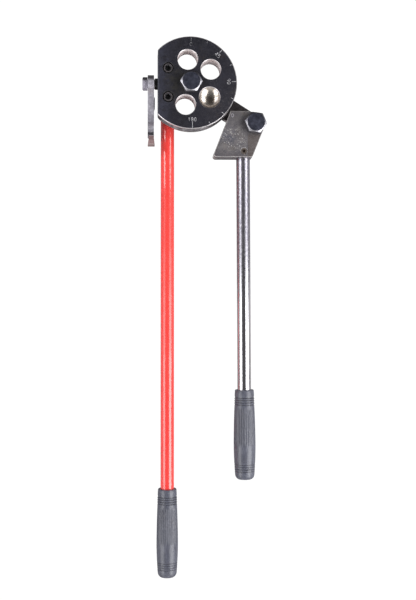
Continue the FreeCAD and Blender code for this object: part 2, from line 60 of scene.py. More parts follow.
# ================================================================ node helper
class Mat:
    """A node material written as short calls. Every method returns a socket."""

    def __init__(self, name):
        self.m = bpy.data.materials.new(name)
        self.m.use_nodes = True
        self.t = self.m.node_tree
        self.t.nodes.clear()
        self.out = self.t.nodes.new("ShaderNodeOutputMaterial")
        self.b = self.t.nodes.new("ShaderNodeBsdfPrincipled")
        self.t.links.new(self.b.outputs[0], self.out.inputs[0])
        tc = self.t.nodes.new("ShaderNodeTexCoord")
        self.p = self.vec("SCALE", tc.outputs["Object"], scale=1000.0)      # millimetres
        sep = self.t.nodes.new("ShaderNodeSeparateXYZ")
        self.t.links.new(self.p, sep.inputs[0])
        self.x, self.y, self.z = sep.outputs
        g = self.t.nodes.new("ShaderNodeNewGeometry")
        sn = self.t.nodes.new("ShaderNodeSeparateXYZ")
        self.t.links.new(g.outputs["Normal"], sn.inputs[0])
        self.ny, self.nz = sn.outputs[1], sn.outputs[2]

    def put(self, sock, v):
        if isinstance(v, bpy.types.NodeSocket):
            self.t.links.new(v, sock)
        elif v is not None:
            if hasattr(sock.default_value, "__len__") and not hasattr(v, "__len__"):
                v = (v, v, v, 1.0)[: len(sock.default_value)]
            if hasattr(v, "__len__") and len(v) == 3 and len(sock.default_value) == 4:
                v = (*v, 1.0)
            sock.default_value = v

    def vec(self, op, a, b=None, scale=None):
        n = self.t.nodes.new("ShaderNodeVectorMath")
        n.operation = op
        self.put(n.inputs[0], a)
        if b is not None:
            self.put(n.inputs[1], b)
        if scale is not None:
            n.inputs["Scale"].default_value = scale
        return n.outputs["Value"] if op in ("LENGTH", "DISTANCE", "DOT_PRODUCT") else n.outputs["Vector"]

    def math(self, op, a, b=None, c=None, clamp=False):
        n = self.t.nodes.new("ShaderNodeMath")
        n.operation = op
        n.use_clamp = clamp
        for i, v in enumerate((a, b, c)):
            if v is not None:
                self.put(n.inputs[i], v)
        return n.outputs[0]

    def add(self, a, b): return self.math("ADD", a, b)
    def sub(self, a, b): return self.math("SUBTRACT", a, b)
    def mul(self, a, b): return self.math("MULTIPLY", a, b)
    def mx(self, a, b): return self.math("MAXIMUM", a, b)
    def mn(self, a, b): return self.math("MINIMUM", a, b)
    def inv(self, a): return self.math("SUBTRACT", 1.0, a)

    def step(self, v, lo, hi, a=0.0, b=1.0):
        """Smooth ramp of v from lo to hi, giving a to b."""
        n = self.t.nodes.new("ShaderNodeMapRange")
        n.interpolation_type = "SMOOTHSTEP"
        self.put(n.inputs["Value"], v)
        n.inputs["From Min"].default_value = min(lo, hi)
        n.inputs["From Max"].default_value = max(lo, hi)
        n.inputs["To Min"].default_value = a if hi >= lo else b
        n.inputs["To Max"].default_value = b if hi >= lo else a
        return n.outputs[0]

    def lin(self, v, lo, hi, a=0.0, b=1.0):
        n = self.t.nodes.new("ShaderNodeMapRange")
        self.put(n.inputs["Value"], v)
        n.inputs["From Min"].default_value = lo
        n.inputs["From Max"].default_value = hi
        n.inputs["To Min"].default_value = a
        n.inputs["To Max"].default_value = b
        return n.outputs[0]

    def band(self, v, lo, hi, soft=0.1):
        """1 where v lies between lo and hi."""
        return self.mul(self.step(v, lo - soft, lo + soft), self.step(v, hi + soft, hi - soft))

    def stretch(self, sx, sy, sz, p=None):
        return self.vec("MULTIPLY", p or self.p, (sx, sy, sz))

    def noise(self, scale, detail=4.0, rough=0.55, p=None, dist=0.0, off=None):
        n = self.t.nodes.new("ShaderNodeTexNoise")
        v = p or self.p
        if off is not None:
            v = self.vec("ADD", v, off)
        self.put(n.inputs["Vector"], v)
        n.inputs["Scale"].default_value = scale
        n.inputs["Detail"].default_value = detail
        n.inputs["Roughness"].default_value = rough
        n.inputs["Distortion"].default_value = dist
        return n.outputs["Fac"] if "Fac" in n.outputs else n.outputs[0]

    def voro(self, scale, p=None, feature="F1", rand=1.0):
        n = self.t.nodes.new("ShaderNodeTexVoronoi")
        n.feature = feature
        self.put(n.inputs["Vector"], p or self.p)
        n.inputs["Scale"].default_value = scale
        n.inputs["Randomness"].default_value = rand
        return n.outputs["Distance"]

    def mix(self, f, a, b, mode="MIX"):
        n = self.t.nodes.new("ShaderNodeMix")
        n.data_type = "RGBA"
        n.blend_type = mode
        n.clamp_factor = True
        self.put(n.inputs[0], f)
        self.put(n.inputs[6], a)
        self.put(n.inputs[7], b)
        return n.outputs[2]

    def mixf(self, f, a, b):
        n = self.t.nodes.new("ShaderNodeMix")
        n.data_type = "FLOAT"
        n.clamp_factor = True
        self.put(n.inputs[0], f)
        self.put(n.inputs[2], a)
        self.put(n.inputs[3], b)
        return n.outputs[0]

    def bump(self, height, strength=0.2, dist_mm=0.1, normal=None):
        n = self.t.nodes.new("ShaderNodeBump")
        n.inputs["Strength"].default_value = strength
        n.inputs["Distance"].default_value = dist_mm / 1000.0
        self.put(n.inputs["Height"], height)
        if normal is not None:
            self.put(n.inputs["Normal"], normal)
        return n.outputs[0]

    def dist_xy(self, x, y):
        dx, dy = self.sub(self.x, x), self.sub(self.y, y)
        return self.math("SQRT", self.add(self.mul(dx, dx), self.mul(dy, dy)))

    def dist(self, x, y, z):
        return self.vec("DISTANCE", self.p, (x, y, z))

    def scratches(self, seed, length=30.0, width=0.25, amount=0.5, angle=0.0):
        """Sparse fine straight scratches, as a mask."""
        r = self.t.nodes.new("ShaderNodeVectorRotate")
        r.rotation_type = "EULER_XYZ"
        r.inputs["Rotation"].default_value = (0.15 * seed, 0.07 * seed, angle)
        self.put(r.inputs["Vector"], self.vec("ADD", self.p, (seed * 13.7, seed * 7.1, seed * 3.3)))
        v = self.stretch(1.0 / length, 1.0 / width, 1.0 / width, r.outputs[0])
        n = self.noise(1.0, 2.0, 0.5, v)
        return self.step(n, 0.5 + 0.2 * (1.15 - amount), 0.5 + 0.2 * (1.35 - amount))

    def set(self, **kw):
        names = dict(color="Base Color", metal="Metallic", rough="Roughness", normal="Normal", ior="IOR",
                     coat="Coat Weight", coat_rough="Coat Roughness", spec="Specular IOR Level", sheen="Sheen Weight",
                     sheen_rough="Sheen Roughness", aniso="Anisotropic", sss="Subsurface Weight")
        for k, v in kw.items():
            self.put(self.b.inputs[names[k]], v)
        return self.m


def assign(names, mat):
    for n in names:
        o = NODES[n]
        o.data.materials.clear()
        o.data.materials.append(mat)


# ================================================================ materials
HOLES = [(-4.1, 28.5), (24.6, 16.7), (-6.7, -27.6)]
DISH = (23.2, -18.1)


def black_oxide(name, lo=(0.0055, 0.0055, 0.010), hi=(0.016, 0.0155, 0.024), brown=(0.026, 0.020, 0.018), seed=0.0, r0=0.34, r1=0.52):
    m = Mat(name)
    big = m.noise(0.045, 5, 0.6, off=(seed, 0, 0), dist=0.6)
    mid = m.noise(0.35, 5, 0.65, off=(0, seed, 0))
    fine = m.noise(3.2, 3, 0.6)
    c = m.mix(m.step(m.add(m.mul(big, 0.65), m.mul(mid, 0.35)), 0.36, 0.64), lo, hi)
    c = m.mix(m.mul(m.step(m.noise(0.09, 4, 0.6, off=(40 + seed, 9, 3)), 0.55, 0.75), 0.6), c, brown)
    specks = m.step(m.voro(0.55), 0.16, 0.07)
    c = m.mix(m.mul(specks, 0.35), c, (0.16, 0.15, 0.15))
    sc = m.scratches(1 + seed, 22, 0.16, 0.5, 0.7)
    sc2 = m.scratches(2 + seed, 14, 0.12, 0.45, -0.9)
    s = m.mx(sc, sc2)
    c = m.mix(m.mul(s, 0.28), c, (0.2, 0.195, 0.2))
    rough = m.lin(m.add(m.mul(mid, 0.6), m.mul(fine, 0.4)), 0.3, 0.7, r0, r1)
    h = m.add(m.mul(fine, 0.5), m.mul(m.noise(0.9, 3, 0.6), 0.5))
    m.cache = dict(c=c, rough=rough, h=h, s=s, fine=fine, mid=mid, big=big)
    return m


# ---- forming die
m = black_oxide("die_black_oxide")
k = m.cache
c, rough = k["c"], k["rough"]
# handled area round the centre: a brownish haze, and a lighter bloom over the lower right
haze = m.mul(m.step(m.dist_xy(-15, 0), 24, 5), m.step(m.noise(0.11, 4, 0.6, off=(3, 3, 3)), 0.3, 0.7))
c = m.mix(m.mul(haze, 0.8), c, (0.040, 0.037, 0.031))
# painted sheen: a bluish sheen painted down the left of the face
left_sheen = m.mul(m.step(m.x, -20, -37), m.step(m.noise(0.14, 4, 0.6, off=(13, 3, 3)), 0.3, 0.65))
c = m.mix(m.mul(left_sheen, 0.75), c, (0.036, 0.037, 0.056))
bloom = m.mul(m.step(m.dist_xy(44, -34), 44, 8), m.step(m.noise(0.5, 6, 0.75, off=(8, 1, 3)), 0.42, 0.7))
c = m.mix(m.mul(bloom, 0.6), c, (0.055, 0.049, 0.055))
dots = m.mul(m.step(m.voro(0.42, m.vec("ADD", m.p, (3.1, 7.7, 1.3))), 0.13, 0.05), m.step(m.dist_xy(52, -14), 50, 12))
c = m.mix(m.mul(dots, 0.75), c, (0.30, 0.28, 0.29))
# rim and edges worn to bare steel; the flat side gets a painted sheen
r_xy = m.dist_xy(0, 0)
wear_n = m.noise(0.22, 5, 0.65, off=(11, 2, 0))
rim = m.step(m.add(r_xy, m.mul(wear_n, 0.5)), 56.82, 57.0)
flat = m.step(m.add(m.x, m.mul(wear_n, 1.6)), -38.2, -40.2)
groove_d = m.math("SQRT", m.add(m.math("POWER", m.sub(r_xy, 57.15), 2.0), m.math("POWER", m.z, 2.0)))
groove = m.mul(m.step(groove_d, 8.12, 8.02), m.step(r_xy, 57.4, 57.2))
steel_n = m.noise(0.6, 5, 0.6, off=(0, 0, 4))
steel = m.mix(m.step(steel_n, 0.35, 0.7), (0.42, 0.40, 0.41), (0.60, 0.58, 0.59))
groove_c = m.mix(m.step(m.noise(0.16, 5, 0.65), 0.35, 0.65), (0.20, 0.185, 0.195), (0.42, 0.40, 0.415))
# walls of the holes and the blind pocket: machined steel
walls = None
for i, (hx, hy) in enumerate(HOLES + [DISH]):
    out_r = 13.0 if i < 3 else 13.6
    w = m.step(m.dist_xy(hx, hy), out_r + 0.08, out_r)
    walls = w if walls is None else m.mx(walls, w)
walls_only = walls
turned = m.noise(1.0, 3, 0.6, m.stretch(0.10, 0.10, 3.2))
wall_c = m.mix(m.step(turned, 0.3, 0.7), (0.66, 0.60, 0.60), (0.92, 0.86, 0.86))
wall_c = m.mix(m.mul(m.step(m.noise(0.1, 4, 0.6, off=(7, 7, 7)), 0.45, 0.7), 0.5), wall_c, (0.42, 0.29, 0.26))
cham = m.mul(walls, m.step(m.z, 11.42, 11.52))
dish = m.step(m.dist_xy(*DISH), 12.95, 12.8)
rings = m.math("SINE", m.mul(m.dist_xy(DISH[0] + 0.3, DISH[1] - 0.2), 5.2))
dish_c = m.mix(m.step(m.noise(0.12, 4, 0.6, off=(1, 2, 3)), 0.3, 0.7), (0.42, 0.375, 0.33), (0.56, 0.52, 0.47))
# painted shade: the middle of the pocket, a little right of and below its centre, darkened
dish_c = m.mix(m.mul(m.step(m.dist_xy(DISH[0] + 1.5, DISH[1] - 1.0), 8.5, 2.0), 0.7), dish_c, (0.17, 0.135, 0.11))
dish_c = m.mix(m.lin(rings, -1, 1, 0.0, 0.06), dish_c, (0.2, 0.17, 0.14))
# counterbores stay dark
bores = m.mx(m.step(m.dist_xy(-28.4, 17.9), 7.4, 7.1), m.step(m.dist_xy(-28.4, -17.8), 7.4, 7.1))
c = m.mix(m.mul(bores, 0.7), c, (0.014, 0.014, 0.015))
# painted sheen: the flat side painted lighter and bluish, where it catches the light
c = m.mix(m.mul(flat, 0.7), c, (0.060, 0.063, 0.082))
c = m.mix(rim, c, steel)
c = m.mix(groove, c, groove_c)
c = m.mix(walls_only, c, wall_c)
c = m.mix(dish, c, dish_c)
# painted highlight on the chamfer arcs facing -Y, painted shade on those facing +Y
c = m.mix(m.mul(cham, m.inv(dish)), c, m.mix(m.step(m.ny, 0.25, -0.2), (0.10, 0.092, 0.095), (0.62, 0.59, 0.60)))
# filled scale marks: the floors of the engraving
mark = m.mul(m.band(m.z, 11.55, 11.75, 0.02), m.mul(m.step(m.nz, 0.9, 0.97), m.mul(m.step(r_xy, 56.62, 56.5), m.inv(walls))))
fill = m.mx(m.lin(m.y, 52, -45, 0.30, 1.0), m.mul(m.step(m.dist_xy(36, 37), 16, 10), 0.85))
cb = m.mul(mark, m.mul(fill, m.lin(m.noise(0.8, 3, 0.7, off=(5, 5, 5)), 0.3, 0.55, 0.5, 1.0)))
c = m.mix(cb, c, (0.92, 0.91, 0.95))
bare = m.mx(m.mx(rim, groove), walls)
metal = m.mixf(bare, 0.25, 0.92)
metal = m.mixf(m.mul(walls_only, m.inv(dish)), metal, 0.2)
metal = m.mixf(cham, metal, 0.95)
metal = m.mixf(groove, metal, 0.55)
metal = m.mixf(mark, metal, 0.0)
rough = m.mixf(rim, rough, m.lin(wear_n, 0.3, 0.7, 0.26, 0.42))
rough = m.mixf(groove, rough, 0.36)
rough = m.mixf(walls, rough, m.lin(turned, 0.3, 0.7, 0.26, 0.42))
rough = m.mixf(dish, rough, 0.24)
rough = m.mixf(mark, rough, 0.7)
hgt = m.add(k["h"], m.mul(m.mul(walls, turned), 0.5))
hgt = m.mul(hgt, m.mixf(dish, 1.0, 0.12))
DIE = m.set(color=c, metal=metal, rough=rough, spec=0.5, normal=m.bump(hgt, 0.35, 0.06))
assign(["forming_die"], DIE)

# ---- plain black oxide: handle block, cap screws, link, spacer, set screw
m = black_oxide("black_oxide_plain", lo=(0.010, 0.010, 0.012), hi=(0.028, 0.027, 0.029), seed=4.0)
k = m.cache
PLAIN = m.set(color=k["c"], metal=0.35, rough=k["rough"], normal=m.bump(k["h"], 0.4, 0.07))
assign(["die_handle_socket", "latch_spacer"], PLAIN)

m = black_oxide("link_oxide", lo=(0.022, 0.018, 0.020), hi=(0.050, 0.042, 0.044), seed=14.0)
k = m.cache
# painted light: the corner of the link by the die painted pale to lift it out of the die's shadow
near = m.mul(m.step(m.y, -40, -45), m.step(m.x, 52, 47))
c = m.mix(near, k["c"], (0.72, 0.66, 0.67))
LINK = m.set(color=c, metal=m.mixf(near, 0.4, 0.05), rough=k["rough"], normal=m.bump(k["h"], 0.4, 0.07))
assign(["pivot_link"], LINK)

m = Mat("set_screw_steel")
n1 = m.noise(0.7, 5, 0.65)
n2 = m.noise(3.0, 3, 0.6)
c = m.mix(m.step(n1, 0.35, 0.65), (0.13, 0.105, 0.09), (0.24, 0.20, 0.18))
c = m.mix(m.mul(m.step(n2, 0.52, 0.7), 0.5), c, (0.40, 0.36, 0.33))
SETSCREW = m.set(color=c, metal=0.7, rough=m.lin(n2, 0.3, 0.7, 0.3, 0.5), normal=m.bump(n2, 0.4, 0.06))
assign(["shoe_handle_set_screw"], SETSCREW)

m = black_oxide("cap_screw_oxide", lo=(0.016, 0.016, 0.019), hi=(0.05, 0.05, 0.052), seed=9.0, r0=0.26, r1=0.42)
k = m.cache
# the chamfered edge of the heads is rubbed bright, and knurling runs round them
e0 = m.mn(m.dist_xy(-28.4, 17.9), m.dist_xy(-28.4, -17.8))
edge = m.mul(m.band(e0, 4.25, 5.25, 0.2), m.step(m.z, 9.4, 10.0))
outer = m.mul(m.step(e0, 5.3, 5.6), m.step(m.noise(1.4, 3, 0.7, off=(2, 2, 2)), 0.45, 0.62))
c = m.mix(m.mul(edge, m.lin(k["mid"], 0.3, 0.7, 0.55, 0.95)), k["c"], (0.175, 0.155, 0.165))
c = m.mix(m.mul(outer, 0.7), c, (0.12, 0.11, 0.115))
SCREWS = m.set(color=c, metal=0.6, rough=k["rough"], normal=m.bump(k["h"], 0.35, 0.05))
assign(["die_cap_screws"], SCREWS)

# ---- hexagon bolts: blue-grey oxide with rubbed corners
A = math.radians(-31.81)
SX, SY = 94.47 * math.cos(A), 94.47 * math.sin(A)


def bolt_material(name, bx, by, ztop, seed):
    m = Mat(name)
    big = m.noise(0.13, 5, 0.65, off=(seed, 0, 0))
    fine = m.noise(2.6, 4, 0.65)
    c = m.mix(m.step(big, 0.35, 0.68), (0.020, 0.022, 0.036), (0.055, 0.058, 0.086))
    c = m.mix(m.mul(m.step(fine, 0.5, 0.72), 0.35), c, (0.15, 0.15, 0.17))
    r = m.dist_xy(bx, by)
    # turned chamfer and the flats' upper edges
    n2 = m.noise(0.7, 4, 0.6, off=(seed, 3, 1))
    cham = m.mul(m.step(m.add(r, m.mul(n2, 0.5)), 11.0, 11.3), m.step(m.z, ztop - 3.0, ztop - 2.6))
    side = m.mul(m.step(m.nz, 0.5, 0.3), m.step(m.z, ztop - 11, ztop - 10.6))
    c = m.mix(m.mul(side, 0.85), c, (0.16, 0.155, 0.175))
    # painted highlight on the chamfer where it faces -Y, painted shade where it faces +Y
    c = m.mix(m.mul(cham, 0.9), c, m.mix(m.step(m.ny, 0.12, -0.12), (0.075, 0.073, 0.085), (0.36, 0.355, 0.38)))
    spots = m.mul(m.step(m.voro(0.6, m.vec("ADD", m.p, (seed, 2, 2))), 0.18, 0.08), 0.5)
    c = m.mix(spots, c, (0.02, 0.02, 0.03))
    rough = m.lin(m.add(m.mul(big, 0.5), m.mul(fine, 0.5)), 0.3, 0.7, 0.30, 0.50)
    metal = m.mixf(m.mx(cham, m.mul(side, 0.7)), 0.55, 0.9)
    return m.set(color=c, metal=metal, rough=rough, normal=m.bump(m.add(fine, m.mul(big, 1.5)), 0.4, 0.06))


assign(["centre_pivot_bolt"], bolt_material("centre_bolt_oxide", 0, 0, 22.0, 2.0))
assign(["shoe_pivot_bolt"], bolt_material("shoe_bolt_oxide", SX, SY, 22.3, 6.0))

# latch bolt: the same finish, its head facing -X
m = Mat("latch_bolt_oxide")
big = m.noise(0.2, 5, 0.65, off=(9, 0, 0))
fine = m.noise(2.6, 4, 0.65)
c = m.mix(m.step(big, 0.35, 0.68), (0.30, 0.285, 0.34), (0.50, 0.47, 0.55))
# painted shade: the upper side of the bolt, facing +Y, darkened
c = m.mix(m.mul(m.step(m.y, 2.4, 4.4), 0.9), c, (0.035, 0.035, 0.038))
worn = m.mul(m.step(m.noise(0.5, 4, 0.6), 0.45, 0.65), m.step(m.x, -59.2, -60.2))
c = m.mix(m.mul(worn, 0.7), c, (0.45, 0.44, 0.46))
LBOLT = m.set(color=c, metal=0.5, rough=m.lin(fine, 0.3, 0.7, 0.34, 0.52), normal=m.bump(fine, 0.35, 0.05))
assign(["latch_pivot_bolt"], LBOLT)

# ---- bending shoe: oxide worn to a mottled grey-brown
m = Mat("shoe_worn_steel")
big = m.noise(0.05, 6, 0.62, dist=0.8)
mid = m.noise(0.22, 6, 0.68, off=(4, 4, 0))
fine = m.noise(1.6, 5, 0.7)
grain = m.noise(5.0, 3, 0.7)
c = m.mix(m.step(m.add(m.mul(big, 0.55), m.mul(mid, 0.45)), 0.34, 0.66), (0.070, 0.065, 0.076), (0.185, 0.172, 0.176))
c = m.mix(m.mul(m.step(m.noise(0.09, 5, 0.6, off=(21, 3, 5)), 0.48, 0.7), 0.55), c, (0.150, 0.128, 0.108))
c = m.mix(m.mul(m.step(fine, 0.52, 0.75), 0.45), c, (0.30, 0.285, 0.30))
c = m.mix(m.mul(m.step(fine, 0.46, 0.28), 0.55), c, (0.045, 0.041, 0.050))
# darker along the nose, round the bolt and down the tube side
face = m.step(m.nz, 0.7, 0.9)
nose = m.mul(m.step(m.dist_xy(48, -36), 17, 5), m.step(mid, 0.3, 0.6))
under = m.mul(m.step(m.dist_xy(SX, SY), 20, 14), 0.8)
tube_side = m.add(m.mul(m.sub(m.x, 49.7), 0.931), m.mul(m.sub(m.y, -34.4), -0.365))
left = m.mul(m.step(m.add(tube_side, m.mul(mid, 8.0)), 9.0, 3.0), m.step(m.y, -42, -60))
dark = m.mx(m.mx(nose, under), m.mul(left, 0.55))
c = m.mix(m.mul(m.mul(dark, face), 0.75), c, (0.060, 0.057, 0.064))
low = m.mul(m.step(m.y, -80, -91), m.step(mid, 0.35, 0.6))
c = m.mix(m.mul(low, 0.55), c, (0.055, 0.042, 0.050))
blue = m.mul(m.mul(m.step(m.dist_xy(45, -66), 17, 6), m.step(m.noise(0.16, 4, 0.6, off=(2, 14, 2)), 0.35, 0.6)), face)
c = m.mix(m.mul(blue, 0.5), c, (0.075, 0.078, 0.110))
# painted shade: a darker brown strip painted down the outer side
strip = m.mul(m.step(m.add(m.x, m.mul(mid, 2.0)), 71.4, 72.4), m.step(m.y, -60, -66))
c = m.mix(m.mul(m.mul(strip, face), 0.7), c, (0.085, 0.066, 0.058))
# small dings from use, scattered over the middle of the plate
area_d = m.mul(m.step(m.dist_xy(53, -69), 19, 11), face)
dings = m.mul(m.mx(m.step(m.voro(0.36, m.vec("ADD", m.p, (2, 5, 1))), 0.24, 0.14), m.step(m.noise(0.8, 3, 0.6, off=(31, 4, 2)), 0.61, 0.66)), area_d)
c = m.mix(m.mul(dings, 0.9), c, (0.62, 0.59, 0.58))
sc = m.mx(m.scratches(3, 18, 0.14, 0.62, 0.4), m.scratches(5, 10, 0.1, 0.6, 1.4))
c = m.mix(m.mul(sc, 0.4), c, (0.36, 0.35, 0.36))
pits = m.step(m.voro(0.7, m.vec("ADD", m.p, (1, 2, 9))), 0.16, 0.06)
c = m.mix(m.mul(pits, 0.5), c, (0.33, 0.32, 0.33))
# edges rubbed bright: chamfers are where the normal leans
lean = m.mul(m.step(m.nz, 0.95, 0.85), m.step(m.nz, 0.45, 0.6))
c = m.mix(m.mul(lean, m.lin(mid, 0.3, 0.7, 0.35, 0.9)), c, (0.42, 0.405, 0.40))
gr = m.mul(m.step(tube_side, 6.5, 4.5), m.inv(m.step(m.math("ABSOLUTE", m.z), 6.9, 7.1)))
c = m.mix(m.mul(gr, 0.7), c, (0.22, 0.20, 0.20))
mark = m.mul(m.band(m.z, 11.55, 11.75, 0.02), m.mul(m.step(m.nz, 0.9, 0.97), m.step(m.dist_xy(51.8, -40.0), 4.0, 3.6)))
c = m.mix(m.mul(mark, 0.9), c, (0.50, 0.48, 0.53))
rough = m.lin(m.add(m.mul(mid, 0.5), m.mul(fine, 0.5)), 0.3, 0.7, 0.36, 0.58)
SHOE = m.set(color=c, metal=m.mixf(mark, 0.5, 0.0), rough=rough, normal=m.bump(m.add(m.mul(fine, 0.7), m.mul(grain, 0.3)), 0.5, 0.08))
assign(["bending_shoe"], SHOE)

# ---- latch: bare forged steel, dull brown at its lip
m = Mat("latch_forged_steel")
big = m.noise(0.07, 5, 0.62)
mid = m.noise(0.4, 5, 0.66)
fine = m.noise(2.4, 4, 0.66)
c = m.mix(m.step(m.add(m.mul(big, 0.5), m.mul(mid, 0.5)), 0.36, 0.64), (0.26, 0.25, 0.29), (0.48, 0.465, 0.52))
c = m.mix(m.mul(m.step(m.noise(0.12, 5, 0.6, off=(5, 8, 2)), 0.5, 0.72), 0.5), c, (0.30, 0.265, 0.27))
# painted shade: the upper end of the latch, facing +Y, darkened
c = m.mix(m.mul(m.step(m.y, 1.0, 6.0), 0.92), c, (0.040, 0.038, 0.042))
# painted shade: the tube seat darkened, and the lower wall of the seat, facing +Y, much darker
seat = m.step(m.math("SQRT", m.add(m.math("POWER", m.sub(m.y, -57.15), 2.0), m.math("POWER", m.mn(m.z, 0.0), 2.0))), 8.4, 8.15)
c = m.mix(m.mul(seat, 0.35), c, (0.10, 0.095, 0.105))
c = m.mix(m.mul(m.band(m.y, -65.2, -58.6, 0.9), 0.85), c, (0.045, 0.043, 0.048))
c = m.mix(m.mul(m.band(m.y, -49.0, -41.0, 2.5), 0.45), c, (0.16, 0.15, 0.18))
lip = m.step(m.y, -65.2, -66.6)
c = m.mix(m.mul(lip, m.lin(mid, 0.3, 0.7, 0.75, 1.0)), c, (0.20, 0.115, 0.11))
c = m.mix(m.mul(m.mul(lip, m.step(m.y, -74.6, -75.9)), 0.6), c, (0.33, 0.27, 0.26))
LATCH = m.set(color=c, metal=0.5, rough=m.lin(m.add(m.mul(mid, 0.5), m.mul(fine, 0.5)), 0.3, 0.7, 0.34, 0.55),
              normal=m.bump(m.add(fine, m.mul(mid, 1.4)), 0.5, 0.09))
assign(["tube_latch"], LATCH)

# ---- red enamel
m = Mat("red_enamel")
big = m.noise(0.02, 4, 0.6, m.stretch(1.0, 0.25, 1.0))
mid = m.noise(0.16, 5, 0.65)
peel = m.noise(0.9, 2, 0.5)
c = m.mix(m.step(big, 0.35, 0.65), (0.76, 0.040, 0.034), (0.82, 0.052, 0.042))
grime = m.mul(m.step(m.noise(0.12, 6, 0.7, off=(2, 7, 1)), 0.56, 0.74), 0.35)
c = m.mix(grime, c, (0.42, 0.03, 0.024))
sc = m.scratches(7, 40, 0.14, 0.48, 1.5)
c = m.mix(m.mul(sc, 0.3), c, (0.95, 0.30, 0.25))
chips = m.mul(m.step(m.noise(0.55, 5, 0.7, off=(1, 1, 8)), 0.71, 0.735), m.mx(m.step(m.y, -80, -52), m.step(m.y, -480, -512)))
c = m.mix(chips, c, (0.10, 0.085, 0.085))
rough = m.lin(mid, 0.3, 0.7, 0.26, 0.38)
rough = m.mixf(chips, rough, 0.6)
RED = m.set(color=c, rough=rough, coat=0.9, coat_rough=0.05, spec=0.4,
            normal=m.bump(m.sub(m.mul(peel, 0.5), m.mul(chips, 1.5)), 0.10, 0.06))
assign(["die_handle_tube"], RED)

# ---- chrome plate
m = Mat("chrome_plate")
big = m.noise(0.03, 4, 0.6, m.stretch(1.0, 0.3, 1.0))
mid = m.noise(0.35, 6, 0.72)
spots = m.step(m.noise(0.8, 5, 0.75, off=(6, 0, 2)), 0.58, 0.72)
c = m.mix(m.step(big, 0.35, 0.65), (0.56, 0.555, 0.59), (0.70, 0.69, 0.72))
c = m.mix(m.mul(spots, m.lin(m.y, -330, -90, 0.2, 0.75)), c, (0.26, 0.25, 0.28))
line = m.scratches(8, 60, 0.12, 0.5, 1.56)
c = m.mix(m.mul(line, 0.25), c, (0.85, 0.85, 0.86))
# duller, rougher chrome over the upper part; its darker colour is a painted dark reflection
dull_and_shaded = m.step(m.y, -300, -190)
c = m.mix(m.mul(dull_and_shaded, 0.88), c, m.mix(m.step(mid, 0.38, 0.62), (0.20, 0.19, 0.235), (0.36, 0.345, 0.385)))
rough = m.add(m.lin(mid, 0.3, 0.7, 0.08, 0.18), m.mul(m.add(m.mul(spots, 0.8), 0.25), m.lin(m.y, -330, -90, 0.03, 0.16)))
rough = m.add(rough, m.mul(dull_and_shaded, 0.16))
CHROME = m.set(color=c, metal=1.0, rough=rough, normal=m.bump(m.add(m.noise(0.25, 3, 0.6), m.mul(mid, 0.3)), 0.10, 0.1))
assign(["shoe_handle_tube"], CHROME)

# ---- zinc plate, bronze, nylon
m = Mat("zinc_plate")
big = m.noise(0.25, 5, 0.65)
cells = m.voro(0.5, feature="SMOOTH_F1")
c = m.mix(m.step(big, 0.35, 0.65), (0.40, 0.40, 0.40), (0.58, 0.58, 0.57))
c = m.mix(m.lin(cells, 0.0, 1.0, 0.0, 0.3), c, (0.33, 0.34, 0.37))
c = m.mix(m.mul(m.step(m.noise(0.9, 5, 0.7), 0.6, 0.72), 0.4), c, (0.22, 0.18, 0.13))
ZINC = m.set(color=c, metal=0.9, rough=m.lin(big, 0.3, 0.7, 0.28, 0.46), normal=m.bump(m.noise(2.5, 3, 0.6), 0.25, 0.05))
assign(["centre_pivot_washer", "centre_pivot_nut", "shoe_pivot_washer", "shoe_pivot_nut", "latch_friction_washer"], ZINC)

m = Mat("sintered_bronze")
pores = m.noise(4.5, 4, 0.75)
big = m.noise(0.3, 4, 0.6)
c = m.mix(m.step(big, 0.35, 0.65), (0.42, 0.27, 0.12), (0.55, 0.37, 0.18))
c = m.mix(m.mul(m.step(pores, 0.55, 0.7), 0.5), c, (0.14, 0.09, 0.05))
BRONZE = m.set(color=c, metal=0.9, rough=m.lin(pores, 0.3, 0.7, 0.34, 0.55), normal=m.bump(pores, 0.3, 0.05))
assign(["centre_thrust_washer", "link_bush", "shoe_thrust_washer", "shoe_bush"], BRONZE)

m = Mat("nylon_insert")
n = m.noise(0.8, 4, 0.6)
c = m.mix(m.step(n, 0.35, 0.65), (0.62, 0.61, 0.56), (0.74, 0.73, 0.69))
NYLON = m.set(color=c, rough=m.lin(n, 0.3, 0.7, 0.4, 0.55), sss=0.1, normal=m.bump(n, 0.2, 0.05))
assign(["centre_nut_insert", "shoe_nut_insert"], NYLON)


# ================================================================ grips
PROFILE = [(0.0, 11.9), (6.0, 12.2), (17.0, 12.45), (32.0, 13.05), (47.0, 13.45), (66.0, 13.78), (77.0, 13.72),
           (85.0, 13.48), (92.5, 13.15), (100.0, 12.8), (106.0, 12.35)]
FLUTES = 32


def body_radius(t):
    """Smooth outer radius of the grip, t from its mouth, in millimetres."""
    pts = PROFILE
    if t <= pts[0][0]:
        return pts[0][1]
    for i in range(len(pts) - 1):
        if t <= pts[i + 1][0]:
            t0, r0 = pts[i]
            t1, r1 = pts[i + 1]
            s0 = (pts[i + 1][1] - pts[max(i - 1, 0)][1]) / (pts[i + 1][0] - pts[max(i - 1, 0)][0])
            j = min(i + 2, len(pts) - 1)
            s1 = (pts[j][1] - pts[i][1]) / (pts[j][0] - pts[i][0])
            u, h = (t - t0) / (t1 - t0), t1 - t0
            return ((2 * u ** 3 - 3 * u ** 2 + 1) * r0 + (u ** 3 - 2 * u ** 2 + u) * h * s0
                    + (-2 * u ** 3 + 3 * u ** 2) * r1 + (u ** 3 - u ** 2) * h * s1)
    return pts[-1][1]


def smooth(a, b, v):
    u = max(0.0, min(1.0, (v - a) / (b - a)))
    return u * u * (3 - 2 * u)


